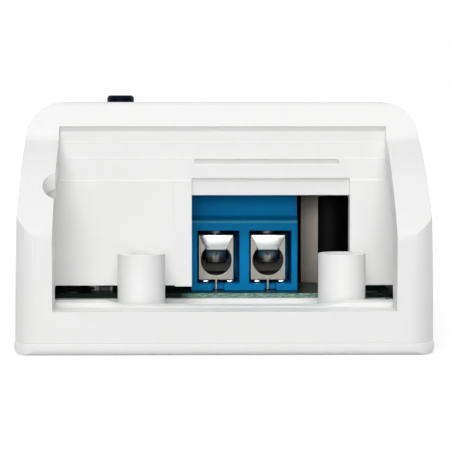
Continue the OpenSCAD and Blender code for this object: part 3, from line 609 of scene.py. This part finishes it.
guard.data.materials.append(tin)
print("guard faces:", len(guard.data.polygons))

# %% [markdown]
# One guard is enough: the other three are copies, one step along the terminal or half a turn
# round the box. Each copy rides its own body, so that it slides when its clamp does.

# %% Wire guards: four copies
pitch = (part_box("output_wire_guard_right")[0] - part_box("output_wire_guard_left")[0]).x
places = {"output_left": Matrix(), "output_right": Matrix.Translation((pitch, 0, 0)),
          "input_left": half_turn, "input_right": half_turn @ Matrix.Translation((pitch, 0, 0))}
for place, move in places.items():
    end, side = place.split("_")
    shape = guard.data.copy()
    shape.transform(move)
    piece = bpy.data.objects.new(f"{end}_wire_guard_{side}_finished", shape)
    bpy.context.scene.collection.objects.link(piece)
    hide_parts(f"{end}_wire_guard_{side}")
    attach(piece, f"{place}_guard")
bpy.data.objects.remove(guard)
print("guards:", len(places), "pitch in mm:", round(pitch / mm, 2))

# %% [markdown]
# ## Capacitors
# An electrolytic capacitor is an aluminium can in a black shrink sleeve. A pale stripe down the
# sleeve marks the negative lead. The stripe is a matter of direction, so the shader works out the
# angle of each point round the can's axis and paints where the angle is near the stripe's.

# %% Shrink sleeves
stripe_half = 0.26  # half of the stripe's width as an angle, in radians


def sleeve(node, toward):
    """Black shrink tube for one can, with its stripe facing the angle `toward` in degrees."""
    low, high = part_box(node)
    axis = (low + high) / 2
    mat, tree, where = blank("shrink_sleeve_" + node)
    local = add(tree, "VectorMath", {0: where, 1: axis}, operation="SUBTRACT")
    parts = add(tree, "SeparateXYZ", {0: local.outputs[0]})
    angle = add(tree, "Math", {0: parts.outputs["Y"], 1: parts.outputs["X"]}, operation="ARCTAN2")
    stripe = add(tree, "Math", {0: angle.outputs[0], 1: math.radians(toward), 2: stripe_half},
                 operation="COMPARE")
    wrinkle = noise(tree, where, 0.9)
    ink = blend(tree, wrinkle, "fbefe0", "ecdfce")
    body = add(tree, "BsdfPrincipled", {
        "Base Color": blend(tree, stripe.outputs[0], "030303", ink), "Roughness": 0.45,
        "Specular IOR Level": 0.08, "Normal": bumped(tree, wrinkle, 0.15, 0.05)})
    return close(mat, body.outputs[0])


softened("reservoir_sleeve", 0.08, sleeve("reservoir_sleeve", -126.0))
softened("output_sleeve", 0.08, sleeve("output_sleeve", 60.0))
softened("reservoir_capacitor", 0.1, aluminium)
softened("output_capacitor", 0.1, aluminium)

# %% [markdown]
# ## The circuit board
# The board is glass fibre in epoxy. Its faces wear green solder mask with copper tracks just
# under it, and its sawn edge shows the pale glass layers. One material does both: it looks which
# way a face points. The tracks are an angular cell pattern 1.5 mm apart, the layers are noise
# pressed flat to a fifth of its height. The pale sawn edge shows only on the tab in front of the
# terminal; beside it the edge is painted dark green, a painted shade under the bay's panels.

# %% Board material
track_step, layer_wide, layer_high = 1.5, 0.5, 0.1      # mm
tab_middle, tab_half, corner_half = 3.4, 6.2, 7.4       # mm along X

board, tree, where = blank("glass_epoxy_board")
facing = add(tree, "SeparateXYZ", {0: add(tree, "NewGeometry").outputs["Normal"]})
upright = add(tree, "Math", {0: facing.outputs["Z"]}, operation="ABSOLUTE")
is_face = add(tree, "Math", {0: upright.outputs[0], 1: 0.5}, operation="GREATER_THAN").outputs[0]
tracks = add(tree, "TexVoronoi", {"Vector": where, "Scale": 1 / (track_step * mm)},
             distance="CHEBYCHEV")
copper = add(tree, "Math", {0: tracks.outputs["Distance"], 1: 0.34}, operation="LESS_THAN")
mask = blend(tree, copper.outputs[0], "0b281d", "143d2f")
pressed = [1 / (size * mm) for size in (layer_wide, layer_wide, layer_high)]
layers = add(tree, "Mapping", {"Vector": where, "Scale": pressed})
glass = add(tree, "TexNoise", {"Vector": layers.outputs[0], "Scale": 1.0, "Detail": 3.0})
fleck = add(tree, "MapRange", {"Value": glass.outputs["Fac"], "From Min": 0.4, "From Max": 0.68})
sawn = blend(tree, fleck.outputs[0], "4a7d6b", "b4cbbe")
# Beside the tab the edge fades to dark green: painted shade under the panels.
across = add(tree, "SeparateXYZ", {0: where})
aside = add(tree, "Math", {0: across.outputs["X"], 1: tab_middle * mm}, operation="SUBTRACT")
aside = add(tree, "Math", {0: aside.outputs[0]}, operation="ABSOLUTE")
painted_shade_beside_tab = add(tree, "MapRange", {"Value": aside.outputs[0], "From Min": tab_half * mm,
                                "From Max": corner_half * mm})
edge = blend(tree, painted_shade_beside_tab.outputs[0], sawn, "1b2a25")
body = add(tree, "BsdfPrincipled", {
    "Base Color": blend(tree, is_face, edge, mask), "Roughness": spread(tree, is_face, 0.7, 0.32),
    "Specular IOR Level": 0.2, "Normal": bumped(tree, copper.outputs[0], 0.4, 0.03)})
close(board, body.outputs[0])


def dress(node, mat):
    """Give a CAD node that keeps its shape a better material."""
    for place in nodes[node].material_slots:
        place.link, place.material = "OBJECT", mat


dress("circuit_board", board)
dress("switch_dome", bronze)

# %% [markdown]
# Chip resistors and capacitors are ceramic blocks with a plated cap over each end. One cap is
# modelled from a cube, then copied to both ends of every chip. Their places on the board are
# written as in the CAD source: a share of the board's width, and a distance from its front edge
# or from the button.

# %% Chip end caps
softened("chip_passives", 0.04, ceramic)
cap_rise, cap_reach = 0.266, 0.67  # mm above the board, and from the chip's middle
low, high = (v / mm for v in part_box("circuit_board"))
wide, top, front = high.x - low.x, high.z, low.y
button = (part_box("button_cap")[0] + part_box("button_cap")[1]) / 2 / mm
near = [(-0.3455, 2.6), (-0.4485, 7), (-0.4485, 9), (-0.16, 8.2)]
inner = [(-0.4485, 0), (-0.2, -1.2), (-0.2, 0.8), (-0.0606, 0), (-0.0606, -2.2)]
spots = [(x * wide, front + y, 0.0) for x, y in near]
spots += [(x * wide, button.y + y, 90.0) for x, y in inner]
caps = []
for x, y, turn in spots:
    chip = Matrix.Translation((x * mm, y * mm, (top + cap_rise) * mm))
    chip = chip @ Matrix.Rotation(math.radians(turn), 4, "Z")
    caps += [chip @ Matrix.Translation((way * mm, 0, 0)) for way in (cap_reach, -cap_reach)]
scattered(bevelled_cube((0.3, 0.84, 0.53), 0.05), "chip_end_caps", caps, nickel)

# %% [markdown]
# ## Windings
# Wire and tape are wound, so their look repeats with the height: a wave texture along Z gives the
# turns. The relay's 0.06 mm wire would vanish, so its turns are drawn 0.25 mm apart. A wave node
# at scale 1 repeats every 2 pi / 20, which is where its scale comes from.

# %% Wound materials
def wound(name, pale, deep, rough, turn, metallic):
    """Turns `turn` mm apart up the Z axis, with a painted highlight on their crowns and painted
    shade between.
    """
    mat, tree, where = blank(name)
    per_metre = 2 * math.pi / (20 * turn * mm)
    wave = add(tree, "TexWave", {"Vector": where, "Scale": per_metre, "Distortion": 0.4,
                                 "Detail": 1.0}, bands_direction="Z").outputs["Fac"]
    body = add(tree, "BsdfPrincipled", {
        "Base Color": blend(tree, wave, deep, pale), "Roughness": rough, "Metallic": metallic,
        "Normal": bumped(tree, wave, 0.5, 0.05)})
    return close(mat, body.outputs[0])


# Enamelled copper is orange with painted highlights on its turns and painted shade in the gaps;
# polyester tape is a flat, waxy yellow.
copper_wire = wound("enamelled_copper", "c9703c", "6e3216", 0.35, 0.25, 0.85)
tape = wound("polyester_tape", "e6bf45", "d2a830", 0.3, 1.6, 0.0)

# %% [markdown]
# ## Inside the box
# Most of what the box holds shows only when it is opened, but each part still gets its own
# material and edges: the relay with its coil and contacts, the switch under the button, the small
# transformer and the larger chips.

# %% Relay, switch and transformer
plain = {
    "switch_base": epoxy_black, "switch_frame": nickel, "switch_plunger": epoxy_black,
    "status_led": lamp_epoxy, "relay_case": relay_blue, "relay_base": epoxy_black,
    "relay_pins": tin, "relay_yoke": iron, "relay_core": iron, "relay_bobbin": bobbin_white,
    "relay_winding": copper_wire, "relay_armature": iron, "relay_contact_spring": bronze,
    "relay_fixed_contact": bronze, "transformer_core": ferrite,
    "transformer_bobbin": epoxy_black, "transformer_winding": tape,
    "radio_chip": epoxy_black, "crystal": nickel}
for node, mat in plain.items():
    softened(node, 0.04, mat)
print("parts of one material:", len(plain))

# %% [markdown]
# Where one solid is two stuffs, such as a chip and its tinned legs, a test on each face's middle
# picks the second material. The thin leads of the fuse resistor keep their CAD edges, because
# bevels run into each other at their bends.

# %% Parts of two materials
def beyond(node, keep):
    """A test for faces over `keep` mm from the node's middle line, such as a chip's legs."""
    low, high = (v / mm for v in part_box(node))
    return lambda c: abs(c.x - (low.x + high.x) / 2) > keep


for node, half_body in (("rectifier", 2.02), ("memory_chip", 1.97), ("regulator", 1.32)):
    softened(node, 0.04, epoxy_black, tin, beyond(node, half_body))
softened("varistor", 0.06, dip_blue, tin, lambda c: c.z < top + 0.6)
low, high = (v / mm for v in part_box("fuse_resistor"))
fuse_y, fuse_half, fuse_rounded = (low.y + high.y) / 2, 4.02, 4.3  # mm
softened("fuse_resistor", 0.04, lacquer_tan, tin,
         lambda c: c.z < top or abs(c.y - fuse_y) > fuse_half,
         share=lambda c: float(abs(c.y - fuse_y) < fuse_rounded))
softened("filter_choke", 0.08, ferrite, copper_wire, lambda c: top + 0.9 < c.z < top + 6.0)
print("parts of two materials: 6, board top at z in mm:", round(top, 2))

# %% [markdown]
# ## Light pipe
# A rod of clear polycarbonate carries the lamp's light to the top face. Moulded ends are never
# quite clear, so a little haze is mixed into its roughness.

# %% Clear polycarbonate
clear, tree, where = blank("clear_polycarbonate")
haze = noise(tree, where, 0.3)
body = add(tree, "BsdfPrincipled", {
    "Base Color": tint("eef2f0"), "Transmission Weight": 1.0, "IOR": 1.58,
    "Roughness": spread(tree, haze, 0.05, 0.25)})
close(clear, body.outputs[0])
softened("light_pipe", 0.08, clear)
